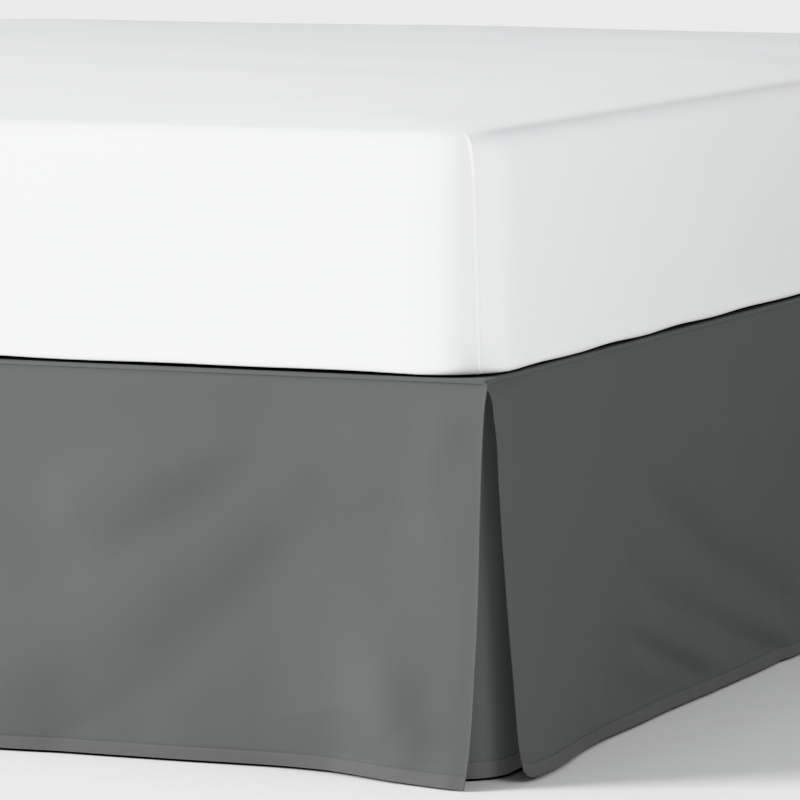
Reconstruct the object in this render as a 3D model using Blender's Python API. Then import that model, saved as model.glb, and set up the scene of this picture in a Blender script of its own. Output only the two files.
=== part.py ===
"""A bed skirt with split corners, hanging on a queen bed.

Metres, +Z up, the floor at z = 0. The bed's length lies along Y with its foot end towards -Y. The skirt is a flat
platform cloth under the mattress, with a drop on the foot end and on both long sides. Every hanging sheet is a height
field: a place on the cloth is given by its distance along the bed's edge and its depth under the platform, and tables
say how far out of the bed's edge the cloth stands there.
"""

import math

import bmesh
import bpy
import numpy as np

MM = 0.001
GAP = 0.0003  # between pieces that touch
MERGE = 1e-6  # points nearer than this are one

# The bed, a queen of 60 by 80 inches
BED_WIDTH = 1.524
BED_LENGTH = 2.032
PLATFORM_HEIGHT = 0.385

# The cloth
CLOTH = 0.0015
LIP = 0.004  # the platform's edge, turned down to the seam
DROP = 0.381
HEM = 0.013
INSERT_HEM = 0.016
HEM_EXTRA = 0.0004  # the doubled cloth stands this far out
HEM_STEP = 0.002
PLATFORM_CORNER = 0.004

# The foot panel's corners swing out this far, so the bed is moved back by half of it to centre the whole
CORNER_SWING = 0.058
FOOT_Y = -(BED_LENGTH - CORNER_SWING) / 2
HEAD_Y = FOOT_Y + BED_LENGTH
SIDE_X = BED_WIDTH / 2

# The mattress: its side's height, and how much its middle stands above that
MATTRESS_HEIGHT = 0.233
MATTRESS_CROWN = 0.012
MATTRESS_CORNER_STEPS = 8
MATTRESS_SIDE_STEPS = 4

# The foundation, a plain box
FOUNDATION_HEIGHT = 0.2032
FOUNDATION_INSET = 0.0063
FOUNDATION_CORNER = 0.04
FOUNDATION_ROUND = 0.008
FOUNDATION_ROUND_HALFWAY = 0.3 * FOUNDATION_ROUND  # where the rounding's middle row stands, from both its faces
FOUNDATION_CORNER_STEPS = 4
FOUNDATION_TOP = PLATFORM_HEIGHT - CLOTH - GAP
FOUNDATION_BOTTOM = FOUNDATION_TOP - FOUNDATION_HEIGHT

# The bed frame
RAIL_WIDTH = 0.040
RAIL_HEIGHT = 0.035
RAIL_INSET = 0.050  # from the bed's side to the rail's outer face
RAIL_END_INSET = 0.045
RAIL_TOP = FOUNDATION_BOTTOM - GAP
RAIL_EDGE = 0.003  # the bevel of a bar's edges
LEG_RADIUS = 0.016
GLIDE_RADIUS = 0.024
GLIDE_HEIGHT = 0.012
GLIDE_SHOULDER = 0.004
GLIDE_EDGE = 0.002
LEG_SIDES = 16
LEG_END_INSET = 0.16  # from the bed's ends to the legs

# How far out the foot panel's hem stands, by the distance from its right-hand corner, in millimetres
FOOT_HEM_ROWS = (
    # distance, outward
    (0, 58),
    (15, 57.5),
    (48, 48.5),
    (82, 39.5),
    (120, 26),
    (158, 11.5),
    (190, 4.5),
    (224, 1),
    (255, 1.5),
    (320, 4),
    (382, 5.5),
    (446, 4.5),
    (500, 8.5),
    (640, 6),
    (800, 3),
    (950, 7),
    (1100, 5),
    (1230, 3),
    (1330, 7),
    (1400, 18),
    (1440, 32),
    (1476, 44),
    (1510, 53),
    (1524, 55),
)

# The same for each side panel, by the distance from its foot corner
SIDE_HEM_ROWS = {
    "right": (
        # distance, outward
        (0, 38),
        (20, 45),
        (60, 43),
        (84, 41.5),
        (131, 35.5),
        (191, 25.5),
        (248, 21.5),
        (305, 22),
        (370, 22.5),
        (430, 22),
        (550, 22.5),
        (680, 20),
        (780, 20),
        (865, 20),
        (1000, 19),
        (1150, 23),
        (1320, 19),
        (1500, 23),
        (1680, 18),
        (1850, 21),
        (2032, 17),
    ),
    "left": (
        # distance, outward
        (0, 38),
        (25, 44),
        (80, 42),
        (140, 33),
        (200, 26),
        (300, 21),
        (420, 24),
        (560, 20),
        (720, 23),
        (900, 18),
        (1080, 22),
        (1260, 18),
        (1440, 22),
        (1640, 17),
        (1840, 21),
        (2032, 18),
    ),
}

# The mattress in its cover, as a pile of rounded rectangles from its bottom up, in millimetres
MATTRESS_ROWS = (
    # height, inset, corner radius
    (0.0, 14, 61),
    (1.5, 4, 71),
    (4.5, 0, 75),
    (28.0, 0.8, 75),
    (90.0, 0, 75),
    (150.0, 0, 75),
    (198.0, 1.5, 74),
    (219.0, 5, 72),
    (229.0, 13, 66),
    (MATTRESS_HEIGHT / MM, 26, 60),
)
# The crown above its side
MATTRESS_CROWN_ROWS = (
    # share of the crown, inset, corner radius
    (0.45, 120, 90),
    (0.8, 290, 150),
    (1.0, 520, 200),
)

# How the swing of a free corner grows down its split edge, as a share of the swing at the hem
FOOT_SPLIT_ROWS = (
    # depth, share
    (6, 0.0),
    (20, 0.08),
    (63, 0.21),
    (93, 0.26),
    (130, 0.30),
    (194, 0.355),
    (237, 0.43),
    (272, 0.52),
    (318, 0.64),
    (350, 0.77),
    (381, 1.0),
)
SIDE_SPLIT_ROWS = (
    # depth, share
    (6, 0.0),
    (15, 0.12),
    (35, 0.19),
    (63, 0.27),
    (94, 0.30),
    (132, 0.355),
    (196, 0.48),
    (247, 0.59),
    (290, 0.70),
    (323, 0.78),
    (356, 0.87),
    (381, 1.0),
)
FOOT_SPLIT_REACH = 220  # the split's own shape fades out over this distance from the corner
SIDE_SPLIT_REACH = 260

# How far the hem stands above the line that the drop's length gives
FOOT_RISE_ROWS = ((0, -5.4), (48, -3.8), (82, -2.5), (120, -0.8), (160, 0.0))
SIDE_RISE_ROWS = ((0, 8.0), (8, 3.5), (22, 0.0))

# Soft creases, each a shallow trough (height under 0) or ridge along a line of places
FOOT_CREASES = (
    # half width, line of (distance, depth, height)
    (62, ((226, 56, -4.1), (237, 149, -0.8))),
    (22, ((246, 91, -1.7), (306, 143, -1.2), (378, 180, -2.7))),
    (45, ((138, 164, -4.5), (171, 163, -4.0))),
    (34, ((213, 181, -3.2), (293, 259, -3.8), (357, 305, -1.0), (373, 380, -2.9))),
    (32, ((206, 95, 3.7), (280, 83, 4.2), (309, 87, 4.0))),
    (54, ((301, 196, 4.8), (374, 202, 7.2), (477, 301, 6.9))),
    (44, ((60, 74, -3.0), (84, 134, -5.5), (88, 200, -4.0))),
    (29, ((107, 268, 1.9), (83, 327, 8.0), (68, 340, 7.1))),
    (53, ((172, 239, -2.3), (138, 321, -1.2), (138, 363, -8.0))),
    (15, ((313, 300, -0.5), (376, 326, -0.9), (455, 376, -1.6))),
    (25, ((44, 55, 4.1), (55, 102, 3.2), (42, 173, 1.4))),
    (42, ((424, 136, 7.0), (363, 110, 7.1))),
    (66, ((128, 322, 8.0), (334, 240, 7.9))),
    (40, ((640, 70, -2.0), (720, 170, -5.0), (800, 300, -4.0))),
    (50, ((800, 120, 3.0), (900, 250, 5.0))),
    (30, ((960, 90, -2.0), (1010, 180, -4.5), (1080, 320, -3.0))),
    (45, ((1330, 100, -3.5), (1260, 190, -4.5), (1190, 310, -4.0))),
    (40, ((1400, 150, 4.0), (1330, 250, 5.0))),
    (32, ((1450, 280, 2.0), (1440, 340, 6.0))),
)
SIDE_CREASES = {
    "right": (
        # half width, line of (distance, depth, height)
        (25, ((385, 132, -1.5), (500, 190, -7.0), (638, 250, -7.6), (838, 317, -7.5), (900, 338, -2.0))),
        (17, ((355, 224, -1.4), (444, 265, -3.9), (556, 298, -4.9), (822, 375, -8.0))),
        (13, ((235, 284, -0.5), (350, 294, -3.0), (433, 318, -6.9), (614, 376, -3.4))),
        (30, ((234, 311, -1.3), (312, 332, -3.4), (385, 360, -7.0), (547, 377, -7.0))),
        (66, ((203, 145, 2.9), (215, 363, 7.0))),
        (66, ((64, 53, -3.4), (76, 220, -2.3))),
        (40, ((960, 80, -1.0), (1060, 180, -5.0), (1160, 320, -4.0))),
        (22, ((1120, 150, -1.0), (1230, 220, -5.0), (1390, 300, -5.0), (1480, 345, -2.0))),
        (60, ((1330, 100, 3.5), (1420, 260, 4.5))),
        (26, ((1560, 170, -1.0), (1650, 240, -5.0), (1790, 340, -4.0))),
        (60, ((1700, 80, -3.0), (1620, 220, -4.0))),
    ),
    "left": (
        # half width, line of (distance, depth, height)
        (40, ((260, 60, -1.5), (380, 140, -6.0), (520, 270, -5.0))),
        (20, ((330, 230, -1.0), (450, 290, -5.0), (600, 350, -4.0))),
        (55, ((700, 120, 3.0), (800, 290, 5.0))),
        (26, ((860, 150, -1.0), (980, 220, -5.5), (1150, 310, -4.0))),
        (60, ((1220, 80, -4.0), (1130, 240, -4.0))),
        (24, ((1420, 160, -1.0), (1530, 230, -5.0), (1680, 330, -4.0))),
        (60, ((1650, 90, 3.0), (1750, 250, 4.0))),
    ),
}
CREASE_FADE = 30  # creases fade out over this distance under the seam and beside the free edges
HEM_STIFFNESS = 0.6  # the share of a crease that the hem flattens
HEM_STIFF_REACH = 24

# The insert behind each split: half its width, and its plan at the seam and at the hem
INSERT_HALF = 0.120
INSERT_CORNER_TOP = 0.036
INSERT_CORNER_HEM = 0.057
INSERT_OUT = {"foot": 0.014, "side": 0.008}  # outward at the hem, beyond the platform's edge
INSERT_END_OUT = 0.0015
INSERT_SETBACK = CLOTH + GAP

# How finely the sheets are cut
FOOT_COLUMNS = ((0, 16), (360, 19), (560, 28), (960, 30), (1300, 24), (1524, 18))
SIDE_COLUMNS = {
    "right": ((0, 16), (130, 24), (860, 34), (1200, 55), (2032, 62)),
    "left": ((0, 18), (260, 28), (560, 50), (2032, 62)),
}
SHEET_ROWS = 15
INSERT_COLUMNS = 16
INSERT_ROWS = 8


def clear_scene():
    for thing in list(bpy.data.objects):
        bpy.data.objects.remove(thing, do_unlink=True)


def material(name, colour, roughness, metallic=0.0):
    made = bpy.data.materials.new(name)
    made.use_nodes = True
    shader = made.node_tree.nodes["Principled BSDF"]
    shader.inputs["Base Color"].default_value = (*colour, 1)
    shader.inputs["Roughness"].default_value = roughness
    shader.inputs["Metallic"].default_value = metallic
    return made


def add_object(name, mesh_maker, finish):
    """Turns a bmesh into a named object in the scene."""
    mesh = bpy.data.meshes.new(name)
    bmesh.ops.recalc_face_normals(mesh_maker, faces=mesh_maker.faces)
    mesh_maker.to_mesh(mesh)
    mesh_maker.free()
    mesh.materials.append(finish)
    made = bpy.data.objects.new(name, mesh)
    bpy.context.scene.collection.objects.link(made)
    return made


def smooth_through(rows, at):
    """A smooth curve through rows of (place, value), read at the places given."""
    places, values = np.array(rows, float).T
    at = np.clip(at, places[0], places[-1])
    slopes = np.gradient(values, places)
    i = np.clip(np.searchsorted(places, at) - 1, 0, len(places) - 2)
    width = places[i + 1] - places[i]
    t = (at - places[i]) / width
    start = (1 + 2 * t) * (1 - t) ** 2 * values[i] + t * (1 - t) ** 2 * width * slopes[i]
    end = t**2 * (3 - 2 * t) * values[i + 1] + t**2 * (t - 1) * width * slopes[i + 1]
    return start + end


def fade(at, reach):
    """1 at zero, falling smoothly to 0 at the reach."""
    t = np.clip(at / reach, 0, 1)
    return 1 - t * t * (3 - 2 * t)


def crease_height(creases, along, depth):
    """The sum of the soft troughs and ridges at each place, in millimetres."""
    total = np.zeros_like(along)
    for half_width, line in creases:
        nearest = np.full_like(along, np.inf)
        height = np.zeros_like(along)
        for (a, b, low), (c, d, high) in zip(line, line[1:]):
            length = (c - a) ** 2 + (d - b) ** 2
            t = np.clip(((along - a) * (c - a) + (depth - b) * (d - b)) / length, 0, 1)
            distance = np.hypot(along - a - t * (c - a), depth - b - t * (d - b))
            height = np.where(distance < nearest, low + t * (high - low), height)
            nearest = np.minimum(nearest, distance)
        total += height * np.exp(-((nearest / half_width) ** 2))
    return total


def crease_share(depth, from_free_edge):
    """Creases fade out under the seam, beside the split edges, and partly in the stiff hem."""
    share = (1 - fade(depth, CREASE_FADE)) * (1 - fade(from_free_edge, CREASE_FADE))
    return share * (1 - HEM_STIFFNESS * fade(DROP / MM - depth, HEM_STIFF_REACH))


def foot_outward(along, depth):
    """How far the foot panel stands out of the bed's foot edge, all in millimetres."""
    share = depth / (DROP / MM)
    far_corner = BED_WIDTH / MM - along
    split = np.maximum(fade(along, FOOT_SPLIT_REACH), fade(far_corner, FOOT_SPLIT_REACH))
    profile = split * smooth_through(FOOT_SPLIT_ROWS, depth) + (1 - split) * share
    creases = crease_height(FOOT_CREASES, along, depth) * crease_share(depth, np.minimum(along, far_corner))
    return smooth_through(FOOT_HEM_ROWS, along) * profile + creases


def side_outward(hand, along, depth):
    """The same for a side panel, by the distance from its foot corner."""
    share = depth / (DROP / MM)
    split = fade(along, SIDE_SPLIT_REACH)
    profile = split * smooth_through(SIDE_SPLIT_ROWS, depth) + (1 - split) * share
    creases = crease_height(SIDE_CREASES[hand], along, depth) * crease_share(depth, along)
    return smooth_through(SIDE_HEM_ROWS[hand], along) * profile + creases


def foot_rise(along):
    nearest = np.minimum(along, BED_WIDTH / MM - along)
    return smooth_through(FOOT_RISE_ROWS, nearest)


def side_rise(along):
    return smooth_through(SIDE_RISE_ROWS, along)


def column_places(steps, end):
    """Distances of the columns, each step as wide as the table says at that place."""
    places = [0.0]
    starts, widths = np.array(steps, float).T
    while places[-1] < end:
        places.append(places[-1] + float(np.interp(places[-1], starts, widths)))
    return np.array(places) * end / places[-1]


def row_depths(rows, hem):
    """Depths of the rows: even down to the hem's stitch line, then the step out to the doubled cloth, then the edge."""
    top = (LIP + GAP) / MM
    stitch = (DROP - hem) / MM
    return np.concatenate([np.linspace(top, stitch, rows), [stitch + HEM_STEP / MM, DROP / MM]])


def sheet_grid(columns, rows, place):
    """A bmesh grid whose vertices are moved to place(column, row)."""
    made = bmesh.new()
    bmesh.ops.create_grid(made, x_segments=columns - 1, y_segments=rows - 1, size=0.5)
    for vertex in made.verts:
        column = round((vertex.co.x + 0.5) * (columns - 1))
        row = round((0.5 - vertex.co.y) * (rows - 1))
        vertex.co = place(column, row)
    return made


def add_sheet(name, grid, finish, facing):
    """Gives a grid the cloth's thickness, behind its outer face. facing is a direction that the outer face looks to."""
    grid.normal_update()
    if sum(face.normal.dot(facing) for face in grid.faces) < 0:
        bmesh.ops.reverse_faces(grid, faces=grid.faces)
    mesh = bpy.data.meshes.new(name)
    grid.to_mesh(mesh)
    grid.free()
    mesh.materials.append(finish)
    made = bpy.data.objects.new(name, mesh)
    bpy.context.scene.collection.objects.link(made)
    made.data.shade_smooth()
    thickness = made.modifiers.new("Cloth", "SOLIDIFY")
    thickness.thickness = CLOTH
    thickness.offset = -1
    thickness.use_even_offset = True
    return made


def hanging_panel(name, columns, outward, rise, to_world, finish, facing):
    """A hanging sheet from its outward and rise tables. to_world turns (along, outward, height) into a point."""
    depths = row_depths(SHEET_ROWS, HEM)
    along, depth = np.meshgrid(columns, depths, indexing="ij")
    out = outward(along, depth)
    doubled = depth > (DROP - HEM) / MM
    fall = np.sqrt(np.maximum(depth**2 - out**2, (LIP / MM) ** 2))
    lift = rise(along) * (depth / (DROP / MM)) ** 2
    out = out + doubled * HEM_EXTRA / MM
    height = PLATFORM_HEIGHT / MM - fall + lift

    def place(column, row):
        return to_world(along[column, row] * MM, out[column, row] * MM, height[column, row] * MM)

    return add_sheet(name, sheet_grid(len(columns), len(depths), place), finish, facing)


def make_foot_panel(finish):
    columns = column_places(FOOT_COLUMNS, BED_WIDTH / MM)

    def to_world(along, out, height):
        return (SIDE_X - along, FOOT_Y - out, height)

    return hanging_panel("foot_panel", columns, foot_outward, foot_rise, to_world, finish, (0, -1, 0))


def make_side_panel(hand, finish):
    side = 1 if hand == "right" else -1
    columns = column_places(SIDE_COLUMNS[hand], BED_LENGTH / MM)
    start = CLOTH + GAP  # the split leaves room for the foot panel's edge
    reach = (BED_LENGTH - start) / BED_LENGTH

    def outward(along, depth):
        return side_outward(hand, along, depth)

    def to_world(along, out, height):
        return (side * (SIDE_X + out), FOOT_Y + start + along * reach, height)

    return hanging_panel(f"side_panel_{hand}", columns, outward, side_rise, to_world, finish, (side, 0, 0))


def insert_place(path, share):
    """Plan place of the insert's outer face, from the bed's corner at (0, 0) with the bed towards -x and +y.

    path is the distance along the cloth from its fold round the corner, under 0 on the foot side. share is 0 at the
    seam and 1 at the hem.
    """
    radius = INSERT_CORNER_TOP + (INSERT_CORNER_HEM - INSERT_CORNER_TOP) * share
    towards_end = min(abs(path) / INSERT_HALF, 1.0) ** 2
    out = {}
    for name, near_corner in INSERT_OUT.items():
        here = near_corner + (INSERT_END_OUT - near_corner) * towards_end
        out[name] = -INSERT_SETBACK + (here + INSERT_SETBACK) * share
    quarter = radius * math.pi / 4
    if abs(path) < quarter:
        turn = math.pi / 4 - path / radius
        x = out["side"] - radius + radius * math.cos(turn)
        return (x, radius - out["foot"] - radius * math.sin(turn))
    straight = abs(path) - quarter + radius
    if path < 0:
        return (out["side"] - straight, -out["foot"])
    return (out["side"], straight - out["foot"])


def make_corner_insert(hand, finish):
    side = 1 if hand == "right" else -1
    paths = np.linspace(-INSERT_HALF, INSERT_HALF, INSERT_COLUMNS + 1)
    depths = row_depths(INSERT_ROWS, INSERT_HEM) * MM

    def place(column, row):
        share = (depths[row] - depths[0]) / (depths[-1] - depths[0])
        x, y = insert_place(paths[column], share)
        return (side * (SIDE_X + x), FOOT_Y + y, PLATFORM_HEIGHT - depths[row])

    grid = sheet_grid(len(paths), len(depths), place)
    return add_sheet(f"corner_insert_{hand}", grid, finish, (side, -1, 0))


def make_deck(finish):
    """The platform cloth: a flat plate whose foot and long edges turn down."""
    made = bmesh.new()
    bmesh.ops.create_grid(made, x_segments=1, y_segments=1, size=0.5)
    for vertex in made.verts:
        vertex.co.x *= BED_WIDTH
        vertex.co.y = FOOT_Y + (vertex.co.y + 0.5) * BED_LENGTH
        vertex.co.z = PLATFORM_HEIGHT
    foot_corners = [v for v in made.verts if v.co.y < 0]
    bmesh.ops.bevel(
        made, geom=foot_corners, offset=PLATFORM_CORNER, offset_type="OFFSET", segments=3, profile=0.5,
        affect="VERTICES", material=-1,
    )
    turned = [e for e in made.edges if min(v.co.y for v in e.verts) < HEAD_Y - PLATFORM_CORNER]
    lip = bmesh.ops.extrude_edge_only(made, edges=turned)
    for vertex in (g for g in lip["geom"] if isinstance(g, bmesh.types.BMVert)):
        vertex.co.z -= LIP
    return add_sheet("deck", made, finish, (0, 0, 1))


def rounded_ring(made, half_x, low_y, high_y, corner, height, corner_steps, side_steps):
    """One closed ring of a rounded rectangle, as edges in the bmesh. It returns its edges."""
    points = []
    centres = (
        (half_x - corner, high_y - corner, 0),
        (-half_x + corner, high_y - corner, 90),
        (-half_x + corner, low_y + corner, 180),
        (half_x - corner, low_y + corner, 270),
    )
    for number, (x, y, start) in enumerate(centres):
        for step in range(corner_steps + 1):
            angle = math.radians(start + 90 * step / corner_steps)
            points.append((x + corner * math.cos(angle), y + corner * math.sin(angle)))
        next_x, next_y, next_start = centres[(number + 1) % 4]
        angle = math.radians(next_start)
        goal = (next_x + corner * math.cos(angle), next_y + corner * math.sin(angle))
        last = points[-1]
        for step in range(1, side_steps):
            share = step / side_steps
            points.append((last[0] + (goal[0] - last[0]) * share, last[1] + (goal[1] - last[1]) * share))
    ring = [made.verts.new((x, y, height)) for x, y in points]
    return [made.edges.new((a, b)) for a, b in zip(ring, ring[1:] + ring[:1])]


def loft(made, rings):
    """Skins a pile of rings and closes both ends."""
    for lower, upper in zip(rings, rings[1:]):
        bmesh.ops.bridge_loops(made, edges=lower + upper)
    for ring in (rings[0], rings[-1]):
        bmesh.ops.edgeloop_fill(made, edges=ring)


def make_mattress(finish):
    """The mattress in its fitted cover, as a pile of rounded rectangles."""
    crown = [
        ((MATTRESS_HEIGHT + MATTRESS_CROWN * share) / MM, inset, corner)
        for share, inset, corner in MATTRESS_CROWN_ROWS
    ]
    made = bmesh.new()
    bottom = PLATFORM_HEIGHT + GAP
    rings = [
        rounded_ring(
            made, SIDE_X - inset * MM, FOOT_Y + inset * MM, HEAD_Y - inset * MM, corner * MM,
            bottom + height * MM, MATTRESS_CORNER_STEPS, MATTRESS_SIDE_STEPS,
        )
        for height, inset, corner in (*MATTRESS_ROWS, *crown)
    ]
    loft(made, rings)
    mattress = add_object("mattress", made, finish)
    mattress.data.shade_smooth()
    return mattress


def make_foundation(finish):
    """A box with rounded corners and edges."""
    inset = FOUNDATION_INSET
    rounding = (
        # distance from the top or bottom face, more inset
        (0.0, FOUNDATION_ROUND),
        (FOUNDATION_ROUND_HALFWAY, FOUNDATION_ROUND_HALFWAY),
        (FOUNDATION_ROUND, 0.0),
    )
    rows = [*rounding, *((FOUNDATION_HEIGHT - distance, more) for distance, more in reversed(rounding))]
    made = bmesh.new()
    rings = [
        rounded_ring(
            made, SIDE_X - inset - more, FOOT_Y + inset + more, HEAD_Y - inset - more, FOUNDATION_CORNER - more,
            FOUNDATION_BOTTOM + height, FOUNDATION_CORNER_STEPS, 1,
        )
        for height, more in rows
    ]
    loft(made, rings)
    return add_object("foundation", made, finish)


def make_bar(name, low, high, finish):
    """A square bar with softened edges between two corners."""
    made = bmesh.new()
    bmesh.ops.create_cube(made, size=1)
    for vertex in made.verts:
        for axis in range(3):
            vertex.co[axis] = low[axis] + (vertex.co[axis] + 0.5) * (high[axis] - low[axis])
    bar = add_object(name, made, finish)
    edges = bar.modifiers.new("Edges", "BEVEL")
    edges.width = RAIL_EDGE
    edges.segments = 1
    return bar


def make_leg(name, x, y, finish):
    """A round leg with a wider glide, turned about its own axis."""
    top = RAIL_TOP - RAIL_HEIGHT - GAP
    profile = (
        (0, top),
        (LEG_RADIUS, top),
        (LEG_RADIUS, GLIDE_HEIGHT + GLIDE_SHOULDER),
        (GLIDE_RADIUS, GLIDE_HEIGHT),
        (GLIDE_RADIUS, GLIDE_EDGE),
        (GLIDE_RADIUS - GLIDE_EDGE, 0),
        (0, 0),
    )
    made = bmesh.new()
    verts = [made.verts.new((radius, 0, height)) for radius, height in profile]
    edges = [made.edges.new(pair) for pair in zip(verts, verts[1:])]
    bmesh.ops.spin(
        made, geom=verts + edges, cent=(0, 0, 0), axis=(0, 0, 1), angle=2 * math.pi, steps=LEG_SIDES,
        use_merge=True,
    )
    bmesh.ops.remove_doubles(made, verts=made.verts, dist=MERGE)
    leg = add_object(name, made, finish)
    leg.location = (x, y, 0)
    return leg


def make_frame(finish):
    """Two rails, three bars between them, and seven legs."""
    outer = SIDE_X - RAIL_INSET
    inner = outer - RAIL_WIDTH
    low = RAIL_TOP - RAIL_HEIGHT
    start = FOOT_Y + RAIL_END_INSET
    end = HEAD_Y - RAIL_END_INSET
    make_bar("rail_right", (inner, start, low), (outer, end, RAIL_TOP), finish)
    make_bar("rail_left", (-outer, start, low), (-inner, end, RAIL_TOP), finish)
    places = {
        "foot": FOOT_Y + LEG_END_INSET,
        "middle": (FOOT_Y + HEAD_Y) / 2,
        "head": HEAD_Y - LEG_END_INSET,
    }
    reach = inner - GAP
    for name, y in places.items():
        half = RAIL_WIDTH / 2
        make_bar(f"crossbar_{name}", (-reach, y - half, low), (reach, y + half, RAIL_TOP), finish)
        make_leg(f"leg_{name}_right", (inner + outer) / 2, y, finish)
        make_leg(f"leg_{name}_left", -(inner + outer) / 2, y, finish)
    make_leg("leg_centre", 0, places["middle"], finish)


def main():
    clear_scene()
    skirt_cloth = material("skirt cloth", (0.135, 0.14, 0.137), 0.85)
    cover_cloth = material("cover cloth", (0.88, 0.884, 0.888), 0.7)
    foundation_cloth = material("foundation cloth", (0.64, 0.64, 0.625), 0.85)
    frame_steel = material("frame steel", (0.037, 0.037, 0.039), 0.45, 0.0)
    make_deck(skirt_cloth)
    make_foot_panel(skirt_cloth)
    for hand in ("right", "left"):
        make_side_panel(hand, skirt_cloth)
        make_corner_insert(hand, skirt_cloth)
    make_mattress(cover_cloth)
    make_foundation(foundation_cloth)
    make_frame(frame_steel)


main()
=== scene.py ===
# %% [markdown]
# # A bed skirt with split corners, on its bed
#
# A bed skirt hides the space under a bed. A flat platform cloth lies under the mattress, and a drop hangs
# from its edge on the foot end and on both long sides. At the foot corners the drop is split, so that it
# falls cleanly round the legs, and a loose insert hangs behind each split to close the gap. This lesson
# dresses a construction model of that bed: the sizes come from the model, and every cloth is made again
# here with its folds, hems and stitches.

# %% Load the construction model
import math

import bmesh
import bpy
import numpy as np
from mathutils import Matrix, Vector


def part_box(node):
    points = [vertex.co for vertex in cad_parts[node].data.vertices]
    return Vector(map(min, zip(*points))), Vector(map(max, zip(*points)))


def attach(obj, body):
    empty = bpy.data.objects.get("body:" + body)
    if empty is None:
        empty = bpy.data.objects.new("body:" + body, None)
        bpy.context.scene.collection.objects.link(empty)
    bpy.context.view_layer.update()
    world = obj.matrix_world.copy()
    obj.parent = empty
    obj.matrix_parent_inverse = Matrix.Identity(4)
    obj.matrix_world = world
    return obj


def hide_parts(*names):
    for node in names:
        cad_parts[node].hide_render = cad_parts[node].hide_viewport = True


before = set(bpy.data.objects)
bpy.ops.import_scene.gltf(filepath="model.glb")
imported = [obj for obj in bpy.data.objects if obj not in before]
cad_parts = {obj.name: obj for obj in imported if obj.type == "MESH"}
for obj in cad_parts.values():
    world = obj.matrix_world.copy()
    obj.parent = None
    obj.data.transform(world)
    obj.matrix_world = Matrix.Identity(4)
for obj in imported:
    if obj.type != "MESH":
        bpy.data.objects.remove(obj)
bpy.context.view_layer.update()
MM = 0.001

# %% [markdown]
# ## The lines that everything is measured from
#
# The platform cloth gives the bed's edges and the height that the drop hangs from. Every hanging sheet is
# described by two distances: how far along the bed's edge a place is, and how deep under the platform.

# %% The bed's edges
deck_low, deck_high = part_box("deck")
SIDE_X = deck_high[0]
FOOT_Y = deck_low[1]
HEAD_Y = deck_high[1]
PLATFORM_HEIGHT = deck_high[2]
BED_WIDTH = 2 * SIDE_X
BED_LENGTH = HEAD_Y - FOOT_Y
MIDDLE_Y = (FOOT_Y + HEAD_Y) / 2
print(f"bed {BED_WIDTH:.3f} by {BED_LENGTH:.3f} m, platform at {PLATFORM_HEIGHT:.3f} m")

# %% [markdown]
# ## The camera
#
# A long lens from a few metres away keeps the hems nearly parallel, as a catalogue picture does. It stands
# to the right of the foot corner and looks slightly down.

# %% Place the camera
SENSOR_MM = 36
LENS_MM = 272.6
CAMERA_FROM_CORNER = Vector((2.08448, -5.30574, 0.98416))
CAMERA_TURN = math.radians(22.276)
CAMERA_PITCH = math.radians(6.184)
CAMERA_REACH = 200

camera_data = bpy.data.cameras.new("camera")
camera_data.sensor_width = SENSOR_MM
camera_data.lens = LENS_MM
camera_data.clip_end = CAMERA_REACH
camera = bpy.data.objects.new("camera", camera_data)
camera.location = Vector((SIDE_X, FOOT_Y, 0)) + CAMERA_FROM_CORNER
camera.rotation_euler = (math.pi / 2 - CAMERA_PITCH, 0, CAMERA_TURN)
bpy.context.scene.collection.objects.link(camera)
bpy.context.scene.camera = camera
print("camera at", tuple(round(x, 3) for x in camera.location))

# %% [markdown]
# ## Soft curves from short tables
#
# Cloth has no straight lines, yet its main shape needs only a few numbers. A table gives a value at a
# handful of places, and a smooth curve runs through them. Adding a helper or two for a gentle fade and for
# waves with a fixed seed keeps the cloth uneven in the same way each time the script runs.


# %% Curves, fades and waves
def smooth_through(rows, at):
    """A smooth curve through rows of (place, value), read at the places given."""
    places, values = np.array(rows, float).T
    at = np.clip(at, places[0], places[-1])
    slopes = np.gradient(values, places)
    i = np.clip(np.searchsorted(places, at) - 1, 0, len(places) - 2)
    width = places[i + 1] - places[i]
    t = (at - places[i]) / width
    start = (1 + 2 * t) * (1 - t) ** 2 * values[i] + t * (1 - t) ** 2 * width * slopes[i]
    end = t**2 * (3 - 2 * t) * values[i + 1] + t**2 * (t - 1) * width * slopes[i + 1]
    return start + end


def fade(at, reach):
    """1 at zero, falling smoothly to 0 at the reach."""
    t = np.clip(at / reach, 0, 1)
    return 1 - t * t * (3 - 2 * t)


def bell(at, width):
    """A smooth bump of height 1."""
    return np.exp(-((at / width) ** 2))


WAVE_COUNT = 14
WAVE_LENGTHS = (0.7, 1.8)


def soft_waves(u, v, seed, size):
    """Gentle unevenness of about height 1, made of waves."""
    dice = np.random.default_rng(seed)
    total = np.zeros_like(u)
    for _ in range(WAVE_COUNT):
        heading = dice.uniform(0, 2 * math.pi)
        length = size * dice.uniform(*WAVE_LENGTHS)
        phase = dice.uniform(0, 2 * math.pi)
        total += np.sin(2 * math.pi * (u * math.cos(heading) + v * math.sin(heading)) / length + phase)
    return total / math.sqrt(WAVE_COUNT / 2)


print("a fade over 10 mm:", [round(float(fade(np.array(d), 10.0)), 2) for d in (0, 5, 10)])

# %% [markdown]
# ## The drop's shape
#
# These tables say how far the hem stands out of the bed's edge, in millimetres. Near the foot corners the
# panels swing out, because a free edge is stiffened by its hem and curls away. A second table says how that
# swing grows down the split. The creases are soft troughs and ridges, each along a line of a few places.

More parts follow.
